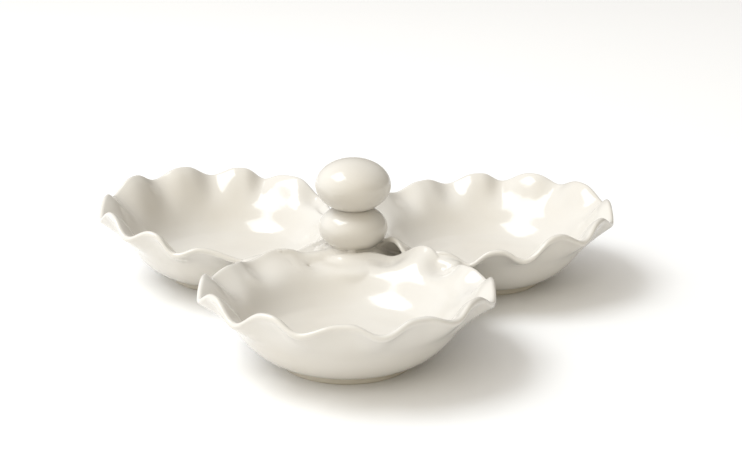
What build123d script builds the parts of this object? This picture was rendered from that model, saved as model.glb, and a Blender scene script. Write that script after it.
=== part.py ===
from build123d import *
from math import asin, atan2, cos, degrees, radians, sin
import os

# Divided serving bowl: three round bowls with ruffled rims in a trefoil, joined by slip and clay coils
# round a centre saddle that carries a knob of two stacked beads. Fired and glazed as one piece.
# Millimetres, +Z up, origin on the table under the knob. The front bowl lies towards -Y.

# Plan of the trefoil: directions are in degrees, counted from +X, and the names go round that way
bowl_names = ("front", "right", "left")
seam_names = ("front_right", "back", "front_left")
front_direction = -90
sector_angle = 360 / len(bowl_names)
half_sector = sector_angle / 2
bowl_angles = {name: front_direction + sector_angle * place for place, name in enumerate(bowl_names)}
seam_angles = {name: bowl_angles[near] + half_sector for near, name in zip(bowl_names, seam_names)}

# Bowl wall: its outer face rises from the base to the rim through points that are shares of the way out
# and of the way up
foot_height = 4.0
base_radius = 36.5
rim_radius = 73.2
rim_height = 38.0
wall_shares = ((0, 0), (0.2725, 0.1618), (0.4632, 0.3824), (0.5995, 0.6029), (0.8038, 0.8235), (1, 1))
ruffle_start_share = 0.3824
pad_contact_share = 0.5995
wall_thickness = 4.4
lip_thickness = 3.4
floor_radius = 30.0
floor_thickness = 4.6
floor_blend = 1.8
wall_levels = 6
lip_levels = 3

# Ruffled rim: each ruffle is a broad raised fold that leans inwards, between two narrow flared points
ruffle_count = 12
points_per_ruffle = 4
ruffle_rise = 3.2
ruffle_push = 0.9
point_power = 1.35
fade_power = 2.2
rim_tilt = 6.0
side_lift = 2.1
lowered_lean_share = 0.6

# How far each fold and point stands above its even place, as shares of ruffle_rise, from the fold that
# faces away from the knob and then every half ruffle the way that angles count
rise_shares = {
    "front": (-0.7, -0.2, -0.5, 0.3, 0, 0, 0, 0, -0.6, 0, 0.9, 0.5,
              -0.8, 0, 0, 0.8, -0.7, 0, 0, 0, 0, -0.7, 0, 0),
    "right": (0, 0.3, -0.2, -0.3, -0.6, -0.4, -0.6, 0.2, -0.6, 0, -1.2, 0,
              0.1, 1.2, 0.3, 0, -0.2, -0.3, 0.6, 0.3, 0.2, 0, 0, 0),
    "left": (0.7, 0.3, 0, 0, 0.6, 0.4, 0.6, 0, -0.7, 0, 0, 0.3,
             -1.2, 0, -1.8, -0.3, -2.8, -0.8, -0.2, 0, 0, 0.3, 0.5, 0.7),
}
# How far each is turned from its even place, as shares of one ruffle's angle
turn_shares = {
    "front": (0.04, 0, 0, 0, 0, 0, 0, 0, 0, 0, -0.1, -0.06,
              0, 0, 0, 0.05, 0, 0, 0, 0, 0, 0.02, 0.04, 0),
    "right": (0.04, 0.1, 0.06, 0.1, 0, 0, 0, -0.05, 0, 0.1, 0.2, 0.35,
              0.45, 0.45, 0.4, 0.25, 0.1, 0, 0, 0, 0, 0, 0, 0),
    "left": (0, 0, 0, 0.05, 0.06, 0.08, 0.08, -0.06, -0.1, 0, 0, 0,
             0, 0, 0, 0, 0, 0, 0, 0.15, 0, 0, 0, 0),
}

# How far the bowls stand from the knob's axis, so that their rims just touch
rim_touch = 2.14
bowl_spread = (rim_radius + rim_touch) / sin(radians(half_sector))

# Foot rings
foot_outer_radius = 34.7
foot_width = 7.2
foot_flare = 0.8
foot_edge = 0.7

# Luted seams: bars of clay pressed into the creases under the touching lips
pinch_depth = 1.2
pinch_angle = 22.0
seam_length = 36.0
seam_tops = {"front_right": 31.5, "back": 27.5, "front_left": 32.5}
seam_depth = 6.0
seam_bottom_width = 20.0
seam_top_width = 4.0

# Centre saddle under the knob: a six-sided pad with sloping flanks, and a small boss on it
pad_bottom = 18.0
pad_shoulder = 22.5
pad_inset = 1.5
boss_radius = 9.0
boss_rise = 0.7
boss_seat_height = 31.6

# Knob: two flattened beads, each pressed a little flat where it sits
lower_bead_radius = 19.3
lower_bead_half_height = 13.2
upper_bead_radius = 21.1
upper_bead_half_height = 14.9
boss_press = 1.3
lower_bead_press = 2.0
upper_bead_press = 1.6
bead_points = 6
lower_bead_centre = boss_seat_height + lower_bead_half_height - boss_press
bead_seat_height = lower_bead_centre + lower_bead_half_height - lower_bead_press
upper_bead_centre = bead_seat_height + upper_bead_half_height - upper_bead_press

# Past the object, for cutting planes
reach = bowl_spread + rim_radius


def smooth(share):
    """Share from 0 to 1, eased at both ends."""
    share = min(max(share, 0), 1)
    return share * share * (1 + 2 * (1 - share))


def table_value(shares, turn):
    """Table entry at a turn in degrees from the outward fold, blended between neighbours."""
    place = turn / 360 * len(shares)
    first = int(place // 1)
    blend = smooth(place - first)
    return shares[first % len(shares)] * (1 - blend) + shares[(first + 1) % len(shares)] * blend


def ruffle_wave(name, turn):
    """Plus one on a raised fold and minus one at a flared point."""
    pitch = 360 / ruffle_count
    turned = turn - table_value(turn_shares[name], turn) * pitch
    point = (1 - cos(radians(turned * ruffle_count))) / 2
    return 1 - 2 * point**point_power


def pinch(turn):
    """Share of the pinch that pulls the lip out to each neighbouring bowl."""
    away = min(abs(turn - (180 - side)) for side in (half_sector / 2, -half_sector / 2))
    return smooth(1 - away / pinch_angle)


def wall_profile():
    """Levels (radius, height, ruffle share) up the outer face, over the lip and down the inner face."""
    climb = rim_height - foot_height
    outer = Spline(*[
        (base_radius + out * (rim_radius - base_radius), foot_height + up * climb) for out, up in wall_shares
    ])
    outside = []
    inside = []
    for step in range(wall_levels):
        share = step / wall_levels
        point = outer @ share
        along = outer % share
        out = share * lip_thickness / 2
        back = (1 - share) * wall_thickness + out
        outside.append((point.X + out * along.Y, point.Y - out * along.X))
        inside.append((point.X - back * along.Y, point.Y + back * along.X))
    lean = atan2((outer % 1).Y, (outer % 1).X)
    lip = []
    for step in range(lip_levels + 1):
        turn = lean - radians(90) + radians(180) * step / lip_levels
        lip.append((rim_radius + lip_thickness / 2 * cos(turn), rim_height + lip_thickness / 2 * sin(turn)))
    floor_height = foot_height + floor_thickness
    hollow = [level for level in inside if level[1] > floor_height + floor_blend]
    levels = outside + lip + hollow[::-1] + [(floor_radius, floor_height)]
    start = foot_height + ruffle_start_share * climb
    return [(r, z, smooth((z - start) / (rim_height - start)) ** fade_power) for r, z in levels]


def ring(name, radius, height, share):
    """Closed smooth wire round a bowl's axis at one level of its wall."""
    count = ruffle_count * points_per_ruffle
    neighbour = bowl_spread * sin(radians(half_sector))
    points = []
    for step in range(count):
        turn = 360 * step / count
        wave = ruffle_wave(name, turn)
        outward = cos(radians(turn))
        lift = table_value(rise_shares[name], turn) * ruffle_rise
        rise = ruffle_rise * wave + rim_tilt * outward - side_lift * (outward**2 - 1 / 2) + lift
        out = lowered_lean_share * min(lift, 0) - ruffle_push * wave
        pulled = max(neighbour + pinch_depth - rim_radius - out, 0) * pinch(turn)
        here = radius + share * out + share**3 * pulled
        angle = radians(turn + bowl_angles[name])
        points.append((here * cos(angle), here * sin(angle), height + share * rise))
    return Wire([Edge.make_spline([Vector(*point) for point in points], periodic=True)])


def sector(name):
    """Wedge of space that belongs to one bowl, between the planes shared with its neighbours."""
    middle = radians(bowl_angles[name])
    corners = [(0, 0)]
    for side in (-half_sector, 0, half_sector):
        angle = middle + radians(side)
        corners.append((2 * reach * cos(angle), 2 * reach * sin(angle)))
    return extrude(make_face(Polyline(*corners, close=True)), amount=reach)


def bowl(name, cutters):
    """One bowl: a lofted wall with its floor, cut flat where it meets its neighbours and the clay between."""
    rings = [ring(name, *level) for level in wall_profile()]
    angle = radians(bowl_angles[name])
    place = Pos(bowl_spread * cos(angle), bowl_spread * sin(angle), 0)
    body = (place * Solid.make_loft(rings, ruled=True)) & sector(name)
    for cutter in cutters:
        body = body - cutter
    return max(body.solids(), key=lambda solid: solid.volume)


def foot_ring(name):
    """Turned ring under a bowl, flared a little where it meets the wall."""
    foot_inner_radius = foot_outer_radius - foot_width
    section = [
        (foot_inner_radius, 0),
        (foot_outer_radius - foot_edge, 0),
        (foot_outer_radius, foot_edge),
        (foot_outer_radius + foot_flare, foot_height),
        (foot_inner_radius - foot_flare, foot_height),
    ]
    profile = make_face(Polyline(*[(r, 0, z) for r, z in section], close=True))
    angle = radians(bowl_angles[name])
    place = Pos(bowl_spread * cos(angle), bowl_spread * sin(angle), 0)
    return place * revolve(profile, Axis.Z)


def bead(radius, half_height, centre, low, high):
    """Flattened bead on the knob's axis, cut flat below low and above high."""
    first = asin((low - centre) / half_height)
    last = asin(min((high - centre) / half_height, 1))
    side = []
    for step in range(bead_points + 1):
        turn = first + (last - first) * step / bead_points
        side.append((radius * cos(turn), centre + half_height * sin(turn)))
    starts = (-radius * sin(first), half_height * cos(first))
    ends = (-radius * sin(last), half_height * cos(last))
    outline = [Spline(*side, tangents=[starts, ends])]
    if high < centre + half_height:
        outline.append(Line(side[-1], (0, high)))
    outline.append(Line((0, side[-1][1]), (0, low)))
    outline.append(Line((0, low), side[0]))
    return revolve(Plane.XZ * make_face(outline), Axis.Z)


def saddle():
    """Six-sided pad of clay whose flanks lie against the three walls, with the boss that seats the knob."""
    facing = bowl_angles["front"]
    wall_radius = base_radius + pad_contact_share * (rim_radius - base_radius)
    pad_reach = bowl_spread - wall_radius - pad_inset
    hexagon = RegularPolygon(pad_reach, 6, major_radius=False, rotation=facing)
    small_hexagon = RegularPolygon(boss_radius, 6, major_radius=False, rotation=facing)
    flank_height = boss_seat_height - boss_rise - pad_shoulder
    taper = degrees(atan2(pad_reach - boss_radius, flank_height))
    body = Pos(0, 0, pad_bottom) * extrude(hexagon, pad_shoulder - pad_bottom)
    flanks = Pos(0, 0, pad_shoulder) * extrude(hexagon, flank_height, taper=taper)
    boss = Pos(0, 0, pad_shoulder) * extrude(small_hexagon, boss_seat_height - pad_shoulder)
    return body + flanks + boss


def seam(name):
    """Bar of clay in the crease between two bowls, wide at the bottom and narrow under the lips."""
    top = seam_tops[name]
    section = make_face(Polyline(
        (-seam_bottom_width / 2, top - seam_depth),
        (seam_bottom_width / 2, top - seam_depth),
        (seam_top_width / 2, top),
        (-seam_top_width / 2, top),
        close=True,
    ))
    middle = bowl_spread * cos(radians(half_sector))
    bar = Pos(middle, 0, 0) * extrude(Plane.YZ * section, seam_length / 2, both=True)
    return Rotation(0, 0, seam_angles[name]) * bar


def build():
    pad = saddle()
    parts = {"centre_saddle": pad}
    for name in seam_angles:
        parts[f"seam_{name}"] = seam(name) - pad
    clay = list(parts.values())
    for name in bowl_angles:
        parts[f"bowl_{name}"] = bowl(name, clay)
        parts[f"foot_ring_{name}"] = foot_ring(name)
    parts["knob_lower_bead"] = bead(
        lower_bead_radius, lower_bead_half_height, lower_bead_centre, boss_seat_height, bead_seat_height
    )
    parts["knob_upper_bead"] = bead(
        upper_bead_radius, upper_bead_half_height, upper_bead_centre, bead_seat_height, reach
    )
    return parts


os.makedirs("parts", exist_ok=True)
for node, solid in build().items():
    export_step(solid, f"parts/{node}.step")
    print(node, round(solid.volume))
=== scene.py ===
from math import atan2, cos, degrees, hypot, pi, radians, sin, sqrt

import bmesh
import bpy
from mathutils import Matrix, Vector


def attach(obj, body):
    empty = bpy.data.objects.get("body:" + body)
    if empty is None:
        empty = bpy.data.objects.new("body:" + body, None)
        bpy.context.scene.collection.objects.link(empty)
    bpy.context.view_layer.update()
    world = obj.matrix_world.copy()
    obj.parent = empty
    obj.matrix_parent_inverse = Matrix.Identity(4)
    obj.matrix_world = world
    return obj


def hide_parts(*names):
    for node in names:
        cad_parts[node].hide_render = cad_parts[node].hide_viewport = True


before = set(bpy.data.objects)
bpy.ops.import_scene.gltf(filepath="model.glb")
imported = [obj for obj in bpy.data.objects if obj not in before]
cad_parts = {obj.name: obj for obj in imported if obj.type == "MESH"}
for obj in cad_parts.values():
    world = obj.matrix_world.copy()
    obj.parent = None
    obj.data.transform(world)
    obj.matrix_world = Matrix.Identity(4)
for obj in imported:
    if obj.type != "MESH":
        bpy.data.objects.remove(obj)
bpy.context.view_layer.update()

# Divided serving bowl: three glazed bowls with ruffled rims round a knob of two stacked beads.
# Metres, +Z up, origin on the table under the knob. Sizes are in millimetres times mm, angles in degrees.
mm = 0.001

# Plan of the trefoil
bowl_names = ("front", "right", "left")
front_direction = -90
sector_angle = 360 / len(bowl_names)
half_sector = sector_angle / 2
bowl_angles = {name: front_direction + sector_angle * place for place, name in enumerate(bowl_names)}
seam_names = ("front_right", "back", "front_left")
seam_angles = {name: bowl_angles[bowl] + half_sector for name, bowl in zip(seam_names, bowl_names)}

# Wall: its outer face rises from the base to the rim through shares of the way out and of the way up
foot_height = 4.0 * mm
base_radius = 36.5 * mm
rim_radius = 73.2 * mm
rim_height = 38.0 * mm
wall_shares = (
    (0, 0), (0.107, 0.046), (0.207, 0.108), (0.298, 0.185), (0.38, 0.272), (0.453, 0.368), (0.517, 0.471),
    (0.581, 0.575), (0.654, 0.672), (0.736, 0.759), (0.823, 0.841), (0.911, 0.921), (1, 1),
)
ruffle_start_share = 0.3824
wall_thickness = 4.4 * mm
lip_thickness = 3.4 * mm
floor_outline = [(37.5 * mm, 9.9 * mm), (30.0 * mm, 8.75 * mm), (20.0 * mm, 8.6 * mm), (8.0 * mm, 8.6 * mm)]
steps_per_span = 3
lip_steps = 8
turn_steps = 288
turned_columns = 192
pole_radius = 0.01 * mm
rim_touch = 2.14 * mm
bowl_spread = (rim_radius + rim_touch) / sin(radians(half_sector))

# Ruffled rim
ruffle_count = 12
ruffle_rise = 3.2 * mm
ruffle_push = 0.9 * mm
point_power = 1.35
left_fade_power = 2.2
right_fade_power = 5.0
rim_tilt = 6.0 * mm
side_lift = 2.1 * mm
lowered_lean_share = 0.6
pinch_depth = 0.6 * mm
pinch_angle = 22.0
pinch_power = 3
rise_shares = {
    "front": (-0.7, -0.2, -0.5, 0.3, 0, 0, 0, 0, -0.6, 0, 0.9, 0.5,
              -0.8, 0, 0, 0.8, -0.7, 0, 0, 0, 0, -0.7, 0, 0),
    "right": (0, 0.3, -0.2, -0.3, -0.6, -0.4, -0.6, 0.2, -0.6, 0, -1.2, 0,
              0.1, 1.2, 0.3, 0, -0.2, -0.3, 0.6, 0.3, 0.2, 0, 0, 0),
    "left": (0.7, 0.3, 0, 0, 0.6, 0.4, 0.6, 0, -0.7, 0, 0, 0.3,
             -1.2, 0, -1.8, -0.3, -2.8, -0.8, -0.2, 0, 0, 0.3, 0.5, 0.7),
}
turn_shares = {
    "front": (0.04, 0, 0, 0, 0, 0, 0, 0, 0, 0, -0.1, -0.06,
              0, 0, 0, 0.05, 0, 0, 0, 0, 0, 0.02, 0.04, 0),
    "right": (0.04, 0.1, 0.06, 0.1, 0, 0, 0, -0.05, 0, 0.1, 0.2, 0.35,
              0.45, 0.45, 0.4, 0.25, 0.1, 0, 0, 0, 0, 0, 0, 0),
    "left": (0, 0, 0, 0.05, 0.06, 0.08, 0.08, -0.06, -0.1, 0, 0, 0,
             0, 0, 0, 0, 0, 0, 0, 0.15, 0, 0, 0, 0),
}

# Foot rings
foot_outer = 34.7 * mm
foot_inner = 27.5 * mm
foot_flare = 0.8 * mm
foot_edge = 0.9 * mm
foot_edge_steps = 4

# Joining clay near the knob: copies of the walls, the bead's seat and a fill between the lips make one skin.
# Where the front and left bowls run into each other it is smoothed most, and the walls sink beneath it
join_reach = 64.0 * mm
join_bottom = 13.0 * mm
join_grain = 0.9 * mm
join_rounds = 44
join_pull_share = 0.5
tuck_depth = 0.08 * mm
melt_start_angle = 158
melt_end_angle = 292
melt_fade_angle = 24
melt_inner_reach = 33.0 * mm
melt_outer_reach = 47.0 * mm
melt_rise = 10.0 * mm
upward_start = 0.3

# Creases between the lips, which are smoothed a little along their length
crease_start = 30.0 * mm
crease_end = 72.0 * mm
crease_half_width = 3.5 * mm
crease_fade = 5.0 * mm
crease_widening_share = 0.22
crease_smooth_share = 0.12
lips_touch = 45.0 * mm

# Walls under the skin: their points draw in towards a ring inside the wall
sink_start_share = 0.1
sink_full_share = 0.5
sunk_share = 0.5
sink_ring_radius = 53.4 * mm
sink_ring_height = 20.0 * mm

# Seat under the knob, as radius and height in millimetres, and the bead's part in the skin
seat_outline = ((0, 14), (21, 14), (27, 19), (29, 23), (27, 25.5), (21, 26.5), (16, 30), (13, 33), (0, 33))
bead_base_height = 38.0 * mm

# Fill: round dabs of clay, each with its distance from the knob's axis, radius and top in millimetres.
# The wall fills go round the knob, and a single dab ends with its own direction
pocket_fill = ((14, 9.0, 18.5), (22, 9.0, 19.5), (30, 6.0, 22.0), (37, 5.0, 28.0))
lip_fill = (
    (42, 6.0, 33.5), (47, 6.0, 35.5), (52, 5.5, 36.0), (57, 5.0, 36.0), (62, 5.0, 35.5), (67, 5.5, 34.5),
)
saddle_fill = ((10, 11.0, 32.0), (20, 10.0, 32.5), (30, 8.5, 33.0), (37, 7.0, 33.5))
crease_fills = {
    "front_right": pocket_fill + lip_fill,
    "back": pocket_fill + lip_fill,
    "front_left": saddle_fill + lip_fill,
}
crease_fill_step = 2
wall_fills = ((25.5, 6.0, 28.8), (27.6, 6.0, 28.8))
wall_fill_start_angle = 146
wall_fill_angle_step = 4
single_dabs = ((30, 4.5, 28.4, 231), (31, 4.5, 28.4, 187))
dab_columns = 32
dab_turn_step = 10

# Knob: each bead's radius, half height, middle, lowest and highest level
beads = {
    "knob_lower_bead": (19.3 * mm, 13.2 * mm, 43.5 * mm, 30.6 * mm, 55.6 * mm),
    "knob_upper_bead": (21.1 * mm, 14.9 * mm, 68.0 * mm, 53.6 * mm, 82.9 * mm),
}
bead_steps = 48

# Glaze: colours where it lies thick and thin, roughness, and the strength of its waves
cream_look = ((0.645, 0.612, 0.555), (0.695, 0.672, 0.63), 0.1, 0.08)
foot_look = ((0.58, 0.535, 0.45), (0.63, 0.59, 0.51), 0.3, 0.3)
cloud_scale = 18.0
cloud_range = (0.3, 0.7)
wave_scale = 160.0
wave_depth = 0.3 * mm
gloss_spread = 0.05
glaze_ior = 1.5


def smooth(share):
    share = min(max(share, 0), 1)
    return share * share * (3 - 2 * share)


def table_value(shares, turn):
    """Table entry at a turn in degrees, blended between neighbours."""
    place = turn / 360 * len(shares)
    first = int(place // 1)
    blend = smooth(place - first)
    return shares[first % len(shares)] * (1 - blend) + shares[(first + 1) % len(shares)] * blend


def new_object(name, points, faces):
    mesh = bpy.data.meshes.new(name)
    mesh.from_pydata([tuple(point) for point in points], [], faces)
    mesh.update()
    for polygon in mesh.polygons:
        polygon.use_smooth = True
    made = bpy.data.objects.new(name, mesh)
    bpy.context.scene.collection.objects.link(made)
    return made


def plain_copy(host, name):
    """The host after its modifiers, as a plain mesh object, with the host removed."""
    graph = bpy.context.evaluated_depsgraph_get()
    mesh = bpy.data.meshes.new_from_object(host.evaluated_get(graph))
    mesh.name = name
    made = bpy.data.objects.new(name, mesh)
    bpy.context.scene.collection.objects.link(made)
    host.modifiers.clear()
    bpy.data.objects.remove(host)
    for polygon in mesh.polygons:
        polygon.use_smooth = True
    return made


def lathe_faces(rows, columns, close_start, close_end):
    """Faces of a turned grid, with a fan onto one extra point at either end where asked."""
    faces = []
    for row in range(rows - 1):
        for column in range(columns):
            after = (column + 1) % columns
            low, high = row * columns, (row + 1) * columns
            faces.append((low + column, low + after, high + after, high + column))
    extra = rows * columns
    if close_start:
        faces += [(extra, (column + 1) % columns, column) for column in range(columns)]
        extra += 1
    if close_end:
        last = (rows - 1) * columns
        faces += [(last + column, last + (column + 1) % columns, extra) for column in range(columns)]
    return faces


def curve_through(points, steps):
    """Smooth run through points: steps places on each span, ends included."""
    run = []
    for index in range(len(points) - 1):
        before = points[max(index - 1, 0)]
        here, there = points[index], points[index + 1]
        after = points[min(index + 2, len(points) - 1)]
        for step in range(steps):
            share = step / steps
            weights = (
                (-share + 2 * share**2 - share**3) / 2,
                (2 - 5 * share**2 + 3 * share**3) / 2,
                (share + 4 * share**2 - 3 * share**3) / 2,
                (share**3 - share**2) / 2,
            )
            pulls = list(zip(weights, (before, here, there, after)))
            run.append(tuple(sum(weight * spot[axis] for weight, spot in pulls) for axis in (0, 1)))
    run.append(points[-1])
    return run


# Bowls: a turned wall carries what the ruffle needs as attributes, and the tree moves its points

def wall_levels():
    """Radius, height and ruffle share of each level: outer face, lip, inner face and floor."""
    climb = rim_height - foot_height
    outer = curve_through([
        (base_radius + out * (rim_radius - base_radius), foot_height + up * climb) for out, up in wall_shares
    ], steps_per_span)
    outside = []
    inside = []
    for index, (radius, height) in enumerate(outer[:-1]):
        share = index / (len(outer) - 1)
        before, after = outer[max(index - 1, 0)], outer[index + 1]
        along = Vector((after[0] - before[0], after[1] - before[1])).normalized()
        out = share * lip_thickness / 2
        back = (1 - share) * wall_thickness + out
        outside.append((radius + out * along.y, height - out * along.x))
        inside.append((radius - back * along.y, height + back * along.x))
    rim, below = outer[-1], outer[-2]
    lean = atan2(rim[1] - below[1], rim[0] - below[0])
    lip = []
    for step in range(lip_steps + 1):
        turn = lean - pi / 2 + pi * step / lip_steps
        lip.append((rim[0] + lip_thickness / 2 * cos(turn), rim[1] + lip_thickness / 2 * sin(turn)))
    floor_edge = floor_outline[0]
    hollow = [level for level in inside if level[1] > floor_edge[1] + lip_thickness / 2]
    floor = curve_through([hollow[0], *floor_outline], steps_per_span)[1:]
    levels = outside + lip + hollow[::-1] + floor
    start = foot_height + ruffle_start_share * climb
    return [(radius, height, smooth((height - start) / (rim_height - start))) for radius, height in levels]


def turned_wall(name):
    """The bowl's wall before its ruffle, round its own axis, with the attributes that the tree reads."""
    levels = wall_levels()
    points = []
    values = {key: [] for key in ("turn", "ruffle_share", "rise_share", "turn_share", "pinch_share")}
    for radius, height, share in levels:
        for step in range(turn_steps):
            turn = 360 * step / turn_steps
            away = min(abs(turn - (180 - side)) for side in (half_sector / 2, -half_sector / 2))
            rightward = smooth((1 + cos(radians(turn + bowl_angles[name]))) / 2)
            power = left_fade_power * (1 - rightward) + right_fade_power * rightward
            points.append((radius, 0, height))
            values["turn"].append(radians(turn))
            values["ruffle_share"].append(share**power)
            values["rise_share"].append(table_value(rise_shares[name], turn))
            values["turn_share"].append(table_value(turn_shares[name], turn))
            values["pinch_share"].append(smooth(1 - away / pinch_angle))
    for height in (levels[0][1], levels[-1][1]):
        points.append((0, 0, height))
        for key in values:
            values[key].append(0)
    made = new_object(f"bowl_{name}_wall", points, lathe_faces(len(levels), turn_steps, True, True))
    for key, column in values.items():
        layer = made.data.attributes.new(key, "FLOAT", "POINT")
        layer.data.foreach_set("value", column)
    return made


class Tree:
    """A Geometry Nodes tree and the steps that fill it."""

    def __init__(self, name):
        self.tree = bpy.data.node_groups.new(name, "GeometryNodeTree")
        self.sockets = {}
        self.tree.interface.new_socket("Geometry", in_out="INPUT", socket_type="NodeSocketGeometry")
        self.tree.interface.new_socket("Geometry", in_out="OUTPUT", socket_type="NodeSocketGeometry")
        self.source = self.tree.nodes.new("NodeGroupInput")
        self.target = self.tree.nodes.new("NodeGroupOutput")

    def size(self, name, kind="NodeSocketFloat"):
        made = self.tree.interface.new_socket(name, in_out="INPUT", socket_type=kind)
        self.sockets[name] = made.identifier
        return self.source.outputs[name]

    def put(self, socket, value):
        if hasattr(value, "is_output"):
            self.tree.links.new(value, socket)
        else:
            socket.default_value = value

    def math(self, operation, *values):
        node = self.tree.nodes.new("ShaderNodeMath")
        node.operation = operation
        for socket, value in zip(node.inputs, values):
            self.put(socket, value)
        return node.outputs[0]

    def attribute(self, name):
        node = self.tree.nodes.new("GeometryNodeInputNamedAttribute")
        node.data_type = "FLOAT"
        node.inputs["Name"].default_value = name
        return node.outputs["Attribute"]

    def finish(self, geometry, material):
        """Realize Instances and Set Material close the tree."""
        real = self.tree.nodes.new("GeometryNodeRealizeInstances")
        self.tree.links.new(geometry, real.inputs["Geometry"])
        paint = self.tree.nodes.new("GeometryNodeSetMaterial")
        self.tree.links.new(real.outputs["Geometry"], paint.inputs["Geometry"])
        self.tree.links.new(material, paint.inputs["Material"])
        self.tree.links.new(paint.outputs["Geometry"], self.target.inputs["Geometry"])


def ruffle_tree():
    """Moves a turned wall's points out and up in ruffles, and places the bowl."""
    t = Tree("ruffled_bowl")
    count = t.size("Ruffle count")
    rise_size = t.size("Ruffle rise")
    push_size = t.size("Ruffle push")
    sharpness = t.size("Point sharpness")
    tilt = t.size("Rim tilt")
    lift_sides = t.size("Side lift")
    lean_share = t.size("Lowered lean share")
    pull_radius = t.size("Pull radius")
    facing = t.size("Facing")
    spread = t.size("Spread")
    material = t.size("Material", "NodeSocketMaterial")

    turn = t.attribute("turn")
    share = t.attribute("ruffle_share")
    pitch = t.math("DIVIDE", 2 * pi, count)
    shifted = t.math("SUBTRACT", turn, t.math("MULTIPLY", t.attribute("turn_share"), pitch))
    swing = t.math("COSINE", t.math("MULTIPLY", shifted, count))
    point = t.math("POWER", t.math("DIVIDE", t.math("SUBTRACT", 1, swing), 2), sharpness)
    wave = t.math("SUBTRACT", 1, t.math("MULTIPLY", 2, point))
    outward = t.math("COSINE", turn)
    lift = t.math("MULTIPLY", t.attribute("rise_share"), rise_size)
    sides = t.math("MULTIPLY", lift_sides, t.math("SUBTRACT", t.math("MULTIPLY", outward, outward), 1 / 2))
    rise = t.math("ADD", t.math("MULTIPLY", rise_size, wave), t.math("MULTIPLY", tilt, outward))
    rise = t.math("ADD", t.math("SUBTRACT", rise, sides), lift)
    lean = t.math("MULTIPLY", lean_share, t.math("MINIMUM", lift, 0))
    out = t.math("SUBTRACT", lean, t.math("MULTIPLY", push_size, wave))
    pulled = t.math("MAXIMUM", t.math("SUBTRACT", pull_radius, out), 0)
    pulled = t.math("MULTIPLY", pulled, t.attribute("pinch_share"))
    pulled = t.math("MULTIPLY", pulled, t.math("POWER", share, pinch_power))

    place = t.tree.nodes.new("GeometryNodeInputPosition")
    parts = t.tree.nodes.new("ShaderNodeSeparateXYZ")
    t.tree.links.new(place.outputs[0], parts.inputs[0])
    radius = t.math("ADD", t.math("ADD", parts.outputs["X"], t.math("MULTIPLY", share, out)), pulled)
    angle = t.math("ADD", turn, facing)
    joined = t.tree.nodes.new("ShaderNodeCombineXYZ")
    for axis, trig in (("X", "COSINE"), ("Y", "SINE")):
        own = t.math("MULTIPLY", radius, t.math(trig, angle))
        far = t.math("MULTIPLY", spread, t.math(trig, facing))
        t.put(joined.inputs[axis], t.math("ADD", own, far))
    t.put(joined.inputs["Z"], t.math("ADD", parts.outputs["Z"], t.math("MULTIPLY", share, rise)))
    move = t.tree.nodes.new("GeometryNodeSetPosition")
    t.tree.links.new(t.source.outputs["Geometry"], move.inputs["Geometry"])
    t.tree.links.new(joined.outputs[0], move.inputs["Position"])
    t.finish(move.outputs["Geometry"], material)
    return t


def run_tree(host, tree, values, name):
    """Runs the tree on host and returns its result as a plain mesh object."""
    modifier = host.modifiers.new("shape", "NODES")
    modifier.node_group = tree.tree
    for key, value in values.items():
        modifier[tree.sockets[key]] = value
    return plain_copy(host, name)


# Glazes

def interface(group, name, kind, in_out, value=None):
    socket = group.interface.new_socket(name, in_out=in_out, socket_type=kind)
    if value is not None:
        socket.default_value = value


def glaze_group():
    """Pooling, clouding and fine waviness of a poured glaze."""
    group = bpy.data.node_groups.new("poured_glaze", "ShaderNodeTree")
    interface(group, "Thick", "NodeSocketColor", "INPUT")
    interface(group, "Thin", "NodeSocketColor", "INPUT")
    interface(group, "Cloud scale", "NodeSocketFloat", "INPUT", cloud_scale)
    interface(group, "Wave scale", "NodeSocketFloat", "INPUT", wave_scale)
    interface(group, "Gloss", "NodeSocketFloat", "INPUT")
    interface(group, "Colour", "NodeSocketColor", "OUTPUT")
    interface(group, "Roughness", "NodeSocketFloat", "OUTPUT")
    interface(group, "Height", "NodeSocketFloat", "OUTPUT")
    nodes, links = group.nodes, group.links
    source = nodes.new("NodeGroupInput")
    target = nodes.new("NodeGroupOutput")
    place = nodes.new("ShaderNodeTexCoord")
    clouds = nodes.new("ShaderNodeTexNoise")
    clouds.inputs["Detail"].default_value = 3
    links.new(place.outputs["Object"], clouds.inputs["Vector"])
    links.new(source.outputs["Cloud scale"], clouds.inputs["Scale"])
    mix = nodes.new("ShaderNodeMix")
    mix.data_type = "RGBA"
    spread = nodes.new("ShaderNodeMapRange")
    spread.inputs["From Min"].default_value = cloud_range[0]
    spread.inputs["From Max"].default_value = cloud_range[1]
    links.new(clouds.outputs["Fac"], spread.inputs["Value"])
    links.new(spread.outputs["Result"], mix.inputs["Factor"])
    links.new(source.outputs["Thick"], mix.inputs["A"])
    links.new(source.outputs["Thin"], mix.inputs["B"])
    fine = nodes.new("ShaderNodeTexNoise")
    fine.inputs["Detail"].default_value = 2
    links.new(place.outputs["Object"], fine.inputs["Vector"])
    links.new(source.outputs["Wave scale"], fine.inputs["Scale"])
    rough = nodes.new("ShaderNodeMath")
    rough.operation = "MULTIPLY_ADD"
    rough.inputs[1].default_value = gloss_spread
    links.new(fine.outputs["Fac"], rough.inputs[0])
    links.new(source.outputs["Gloss"], rough.inputs[2])
    links.new(mix.outputs["Result"], target.inputs["Colour"])
    links.new(rough.outputs[0], target.inputs["Roughness"])
    links.new(fine.outputs["Fac"], target.inputs["Height"])
    return group


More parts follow.
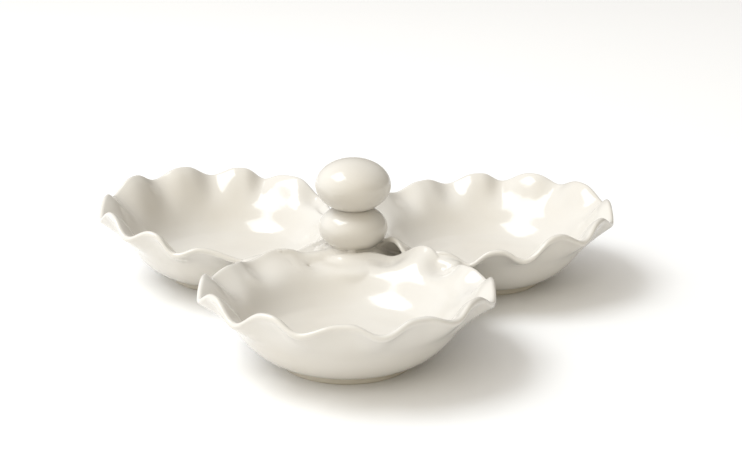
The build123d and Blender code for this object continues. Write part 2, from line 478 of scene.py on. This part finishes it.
def glaze_material(name, group, thick, thin, gloss, wave):
    """Glossy ceramic whose colour, roughness and waviness come from the glaze group."""
    material = bpy.data.materials.new(name)
    material.use_nodes = True
    nodes, links = material.node_tree.nodes, material.node_tree.links
    shader = nodes["Principled BSDF"]
    look = nodes.new("ShaderNodeGroup")
    look.node_tree = group
    look.inputs["Thick"].default_value = (*thick, 1)
    look.inputs["Thin"].default_value = (*thin, 1)
    look.inputs["Gloss"].default_value = gloss
    links.new(look.outputs["Colour"], shader.inputs["Base Color"])
    links.new(look.outputs["Roughness"], shader.inputs["Roughness"])
    bump = nodes.new("ShaderNodeBump")
    bump.inputs["Strength"].default_value = wave
    bump.inputs["Distance"].default_value = wave_depth
    links.new(look.outputs["Height"], bump.inputs["Height"])
    links.new(bump.outputs["Normal"], shader.inputs["Normal"])
    shader.inputs["IOR"].default_value = glaze_ior
    return material


glaze_looks = glaze_group()
glaze = glaze_material("cream_glaze", glaze_looks, *cream_look)
foot_glaze = glaze_material("foot_glaze", glaze_looks, *foot_look)


# Pieces

def register(piece, slot, *nodes):
    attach(piece, "root")
    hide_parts(*nodes)


def build_bowls():
    tree = ruffle_tree()
    neighbour = bowl_spread * sin(radians(half_sector))
    bowls = {}
    for name, angle in bowl_angles.items():
        values = {
            "Ruffle count": float(ruffle_count),
            "Ruffle rise": ruffle_rise,
            "Ruffle push": ruffle_push,
            "Point sharpness": point_power,
            "Rim tilt": rim_tilt,
            "Side lift": side_lift,
            "Lowered lean share": lowered_lean_share,
            "Pull radius": neighbour + pinch_depth - rim_radius,
            "Facing": radians(angle),
            "Spread": bowl_spread,
            "Material": glaze,
        }
        piece = run_tree(turned_wall(name), tree, values, f"glazed_bowl_{name}")
        register(piece, "glaze", f"bowl_{name}")
        bowls[name] = piece
    return bowls


def lathe(name, outline, centre, material, close_start, close_end, columns=turned_columns):
    """Turned solid on a vertical axis through centre."""
    points = []
    for radius, height in outline:
        for step in range(columns):
            turn = 2 * pi * step / columns
            points.append((centre[0] + radius * cos(turn), centre[1] + radius * sin(turn), height))
    if close_start:
        points.append((centre[0], centre[1], outline[0][1]))
    if close_end:
        points.append((centre[0], centre[1], outline[-1][1]))
    made = new_object(name, points, lathe_faces(len(outline), columns, close_start, close_end))
    made.data.materials.append(material)
    return made


def closed_cut(mesh, place, normal):
    """Clears what lies beyond a plane and closes the cut."""
    everything = mesh.verts[:] + mesh.edges[:] + mesh.faces[:]
    cut = bmesh.ops.bisect_plane(mesh, geom=everything, plane_co=place, plane_no=normal, clear_outer=True)
    edges = [item for item in cut["geom_cut"] if isinstance(item, bmesh.types.BMEdge)]
    bmesh.ops.holes_fill(mesh, edges=edges, sides=0)


def seam_line(point):
    """Distance along and beside the nearest seam's direction."""
    best = None
    for angle in seam_angles.values():
        along = point.x * cos(radians(angle)) + point.y * sin(radians(angle))
        beside = abs(point.y * cos(radians(angle)) - point.x * sin(radians(angle)))
        if along > 0 and (best is None or beside < best[1]):
            best = (along, beside)
    return best


def melt_share(point):
    """How fully the clay is smoothed at a point: one between the front and left bowls by the knob."""
    away = hypot(point.x, point.y)
    angle = degrees(atan2(point.y, point.x)) % 360
    start = smooth((angle - melt_start_angle) / melt_fade_angle)
    end = smooth((melt_end_angle - angle) / melt_fade_angle)
    out = smooth((melt_outer_reach - away) / (melt_outer_reach - melt_inner_reach))
    up = smooth((point.z - join_bottom) / melt_rise)
    return start * end * out * up


def crease_nearness(point):
    """One in a crease between two lips, and fading to zero beside it, past its ends and below."""
    along, beside = seam_line(point)
    half_width = crease_half_width + crease_widening_share * max(along - lips_touch, 0)
    side = smooth((half_width + crease_fade - beside) / crease_fade)
    ends = smooth((along - crease_start) / crease_fade) * smooth((crease_end - along) / crease_fade)
    return side * ends * smooth((point.z - join_bottom - crease_fade) / crease_fade)


def clay_dab(along, radius, top, angle):
    """Ball of clay at a distance out in a direction, with its top at a height, all in millimetres."""
    where = (along * mm * cos(radians(angle)), along * mm * sin(radians(angle)))
    outline = []
    for tilt in range(-90, 91, dab_turn_step):
        height = top - radius + radius * sin(radians(tilt))
        outline.append((max(radius * cos(radians(tilt)) * mm, pole_radius), height * mm))
    return lathe("clay_dab", outline, where, glaze, True, True, dab_columns)


def fill_dabs():
    """Dabs in the walls round the knob, and closely set dabs along each crease."""
    angles = range(wall_fill_start_angle, melt_end_angle, wall_fill_angle_step)
    places = [(*fill, angle) for fill in wall_fills for angle in angles]
    places.extend(single_dabs)
    for name, angle in seam_angles.items():
        fills = crease_fills[name]
        for near, far in zip(fills, fills[1:]):
            steps = int((far[0] - near[0]) / crease_fill_step)
            for step in range(steps):
                share = step / steps
                between = [start + (end - start) * share for start, end in zip(near, far)]
                places.append((*between, angle))
    return [clay_dab(*place) for place in places]


def knob_seat():
    """The seat under the knob and the lower part of its lower bead."""
    seat = [(max(radius * mm, pole_radius), height * mm) for radius, height in seat_outline]
    radius, half, centre, low, high = beads["knob_lower_bead"]
    base = []
    for step in range(bead_steps + 1):
        height = low + (bead_base_height - low) * step / bead_steps
        base.append((radius * sqrt(1 - ((height - centre) / half) ** 2), height))
    return [
        lathe("seat_fill", seat, (0, 0), glaze, True, True),
        lathe("bead_base", base, (0, 0), glaze, True, True),
    ]


def joined_skin(walls):
    """One closed skin round the walls near the knob, the seat and the fill."""
    shell = bmesh.new()
    for name, wall in walls.items():
        piece = bmesh.new()
        piece.from_mesh(wall)
        facing = Vector((cos(radians(bowl_angles[name])), sin(radians(bowl_angles[name])), 0))
        closed_cut(piece, facing * join_reach, facing)
        closed_cut(piece, Vector((0, 0, join_bottom)), Vector((0, 0, -1)))
        part = bpy.data.meshes.new(f"wall_{name}_near_knob")
        piece.to_mesh(part)
        piece.free()
        shell.from_mesh(part)
    for extra in knob_seat() + fill_dabs():
        shell.from_mesh(extra.data)
        bpy.data.objects.remove(extra)
    mesh = bpy.data.meshes.new("joined_walls")
    shell.to_mesh(mesh)
    shell.free()
    made = bpy.data.objects.new("joined_walls", mesh)
    bpy.context.scene.collection.objects.link(made)
    remesh = made.modifiers.new("skin", "REMESH")
    remesh.mode = "VOXEL"
    remesh.voxel_size = join_grain
    return plain_copy(made, "clay_skin")


def smoothed_skin(skin):
    """The skin smoothed on its upper side by the knob, and lightly in the creases."""
    melt = skin.vertex_groups.new(name="melt")
    for vertex in skin.data.vertices:
        upward = smooth((vertex.normal.z + upward_start) / upward_start)
        crease = crease_smooth_share * crease_nearness(vertex.co) ** 2
        melt.add([vertex.index], max(melt_share(vertex.co) ** 2 * upward, crease), "REPLACE")
    rounding = skin.modifiers.new("rounding", "SMOOTH")
    rounding.factor = join_pull_share
    rounding.iterations = join_rounds
    rounding.vertex_group = "melt"
    return plain_copy(skin, "luted_joint")


def sink_wall(wall, angle):
    """Draws a wall's points in beneath the skin where it is smoothed."""
    centre = Vector((cos(radians(angle)), sin(radians(angle)), 0)) * bowl_spread
    for vertex in wall.vertices:
        cover = melt_share(vertex.co)
        if cover > sink_start_share:
            out = vertex.co - centre
            out.z = 0
            ring = centre + out.normalized() * sink_ring_radius
            ring.z = sink_ring_height
            sunk = ring + (vertex.co - ring) * sunk_share
            depth = smooth((cover - sink_start_share) / (sink_full_share - sink_start_share))
            vertex.co = vertex.co.lerp(sunk, depth)
    wall.update()


def tuck_skin(skin):
    """Draws the skin in a little where it isn't smoothed, so that the walls' own faces show there."""
    normals = [vertex.normal.copy() for vertex in skin.vertices]
    for vertex, normal in zip(skin.vertices, normals):
        cover = melt_share(vertex.co)
        vertex.co -= normal * (1 - smooth(cover / sink_start_share)) * tuck_depth
    skin.update()


def build_joint(bowls):
    walls = {name: piece.data for name, piece in bowls.items()}
    skin = smoothed_skin(joined_skin(walls))
    skin.data.materials.clear()
    skin.data.materials.append(glaze)
    for name, wall in walls.items():
        sink_wall(wall, bowl_angles[name])
    tuck_skin(skin.data)
    register(skin, "glaze", "centre_saddle", "seam_front_right", "seam_back", "seam_front_left")


def build_feet():
    corner = foot_edge
    outline = [(foot_inner - foot_flare, foot_height), (foot_inner, corner)]
    for step in range(foot_edge_steps + 1):
        turn = pi + pi / 2 * step / foot_edge_steps
        outline.append((foot_inner + corner + corner * cos(turn), corner + corner * sin(turn)))
    for step in range(foot_edge_steps + 1):
        turn = -pi / 2 + pi / 2 * step / foot_edge_steps
        outline.append((foot_outer - corner + corner * cos(turn), corner + corner * sin(turn)))
    outline.append((foot_outer + foot_flare, foot_height))
    outline.append(outline[0])
    for name, angle in bowl_angles.items():
        centre = (bowl_spread * cos(radians(angle)), bowl_spread * sin(radians(angle)))
        piece = lathe(f"turned_foot_{name}", outline, centre, foot_glaze, False, False)
        register(piece, "foot_clay", f"foot_ring_{name}")


def build_knob():
    for node, (radius, half, centre, low, high) in beads.items():
        outline = []
        for step in range(bead_steps + 1):
            turn = -pi / 2 + pi * step / bead_steps
            height = centre + half * sin(turn)
            if low <= height <= high:
                outline.append((max(radius * cos(turn), pole_radius), height))
        piece = lathe(f"glazed_{node}", outline, (0, 0), glaze, True, True)
        register(piece, "glaze", node)


build_joint(build_bowls())
build_feet()
build_knob()


# Camera: the photograph's viewing point, 742 by 471 pixels, with its turn and pitch in radians
picture_width = 742
focal_pixels = 1438.16
optical_centre = (353.11, 223.79)
picture_centre = (371.0, 235.5)
camera_turn = radians(1.976)
camera_away = 770.42 * mm
camera_height = 281.05 * mm
camera_pitch = 0.297
sensor_width = 36.0

lens = bpy.data.cameras.new("camera")
camera = bpy.data.objects.new("camera", lens)
bpy.context.scene.collection.objects.link(camera)
bpy.context.scene.camera = camera
lens.sensor_width = sensor_width
lens.lens = focal_pixels / picture_width * sensor_width
lens.shift_x = (picture_centre[0] - optical_centre[0]) / picture_width
lens.shift_y = (optical_centre[1] - picture_centre[1]) / picture_width
forward = Vector((
    -sin(camera_turn) * cos(camera_pitch), cos(camera_turn) * cos(camera_pitch), -sin(camera_pitch)
))
right = Vector((cos(camera_turn), sin(camera_turn), 0))
up = right.cross(forward)
camera.matrix_world = Matrix((
    (right.x, up.x, -forward.x, camera_away * sin(camera_turn)),
    (right.y, up.y, -forward.y, -camera_away * cos(camera_turn)),
    (right.z, up.z, -forward.z, camera_height),
    (0, 0, 0, 1),
))


# Floor and light
def flat_material(name, colour, roughness):
    material = bpy.data.materials.new(name)
    material.use_nodes = True
    shader = material.node_tree.nodes["Principled BSDF"]
    shader.inputs["Base Color"].default_value = (*colour, 1)
    shader.inputs["Roughness"].default_value = roughness
    return material


floor_half = 6.0
floor_white = (0.93, 0.93, 0.93)
floor_roughness = 0.7
floor = new_object("studio_floor", [
    (-floor_half, -floor_half, 0), (floor_half, -floor_half, 0),
    (floor_half, floor_half, 0), (-floor_half, floor_half, 0),
], [(0, 1, 2, 3)])
floor.data.materials.append(flat_material("white_sweep", floor_white, floor_roughness))


key_towards = (-0.50, -0.08, 0.82)
key_distance = 2.0
key_width = 1.24
key_depth = 0.92
key_watts = 23.0
key_colour = (0.93, 0.97, 1.0)
dish_middle = Vector((0, 0, 40 * mm))


def soft_box(name, towards, distance, width, depth, watts, colour):
    """Rectangular light at a distance from the dish's middle, facing it."""
    data = bpy.data.lights.new(name, "AREA")
    data.shape = "RECTANGLE"
    data.size = width
    data.size_y = depth
    data.energy = watts
    data.color = colour
    made = bpy.data.objects.new(name, data)
    bpy.context.scene.collection.objects.link(made)
    aim = Vector(towards).normalized()
    made.location = dish_middle + aim * distance
    made.rotation_euler = aim.to_track_quat("Z", "Y").to_euler()


soft_box("key_box", key_towards, key_distance, key_width, key_depth, key_watts, key_colour)

# Studio surroundings: each direction's colour, which fades with the square of the cosine away from it
surroundings = {
    (-1, 0, 0.25): (1.28, 1.30, 1.34),
    (0, -1, 0.5): (1.00, 0.92, 0.74),
    (0, 0, 1): (0.60, 0.60, 0.62),
    (0, 1, 0.15): (0.30, 0.27, 0.22),
}


def studio_world():
    world = bpy.data.worlds.new("studio")
    world.use_nodes = True
    nodes, links = world.node_tree.nodes, world.node_tree.links
    place = nodes.new("ShaderNodeTexCoord")
    total = None
    for towards, colour in surroundings.items():
        facing = nodes.new("ShaderNodeVectorMath")
        facing.operation = "DOT_PRODUCT"
        facing.inputs[1].default_value = Vector(towards).normalized()
        links.new(place.outputs["Generated"], facing.inputs[0])
        lit = nodes.new("ShaderNodeMath")
        lit.operation = "MAXIMUM"
        lit.inputs[1].default_value = 0
        links.new(facing.outputs["Value"], lit.inputs[0])
        faded = nodes.new("ShaderNodeMath")
        faded.operation = "POWER"
        faded.inputs[1].default_value = 2
        links.new(lit.outputs[0], faded.inputs[0])
        tinted = nodes.new("ShaderNodeVectorMath")
        tinted.operation = "SCALE"
        tinted.inputs[0].default_value = colour
        links.new(faded.outputs[0], tinted.inputs["Scale"])
        if total is None:
            total = tinted.outputs[0]
            continue
        joined = nodes.new("ShaderNodeVectorMath")
        joined.operation = "ADD"
        links.new(total, joined.inputs[0])
        links.new(tinted.outputs[0], joined.inputs[1])
        total = joined.outputs[0]
    links.new(total, nodes["Background"].inputs["Color"])
    return world


bpy.context.scene.world = studio_world()
bpy.context.scene.view_settings.view_transform = "Standard"
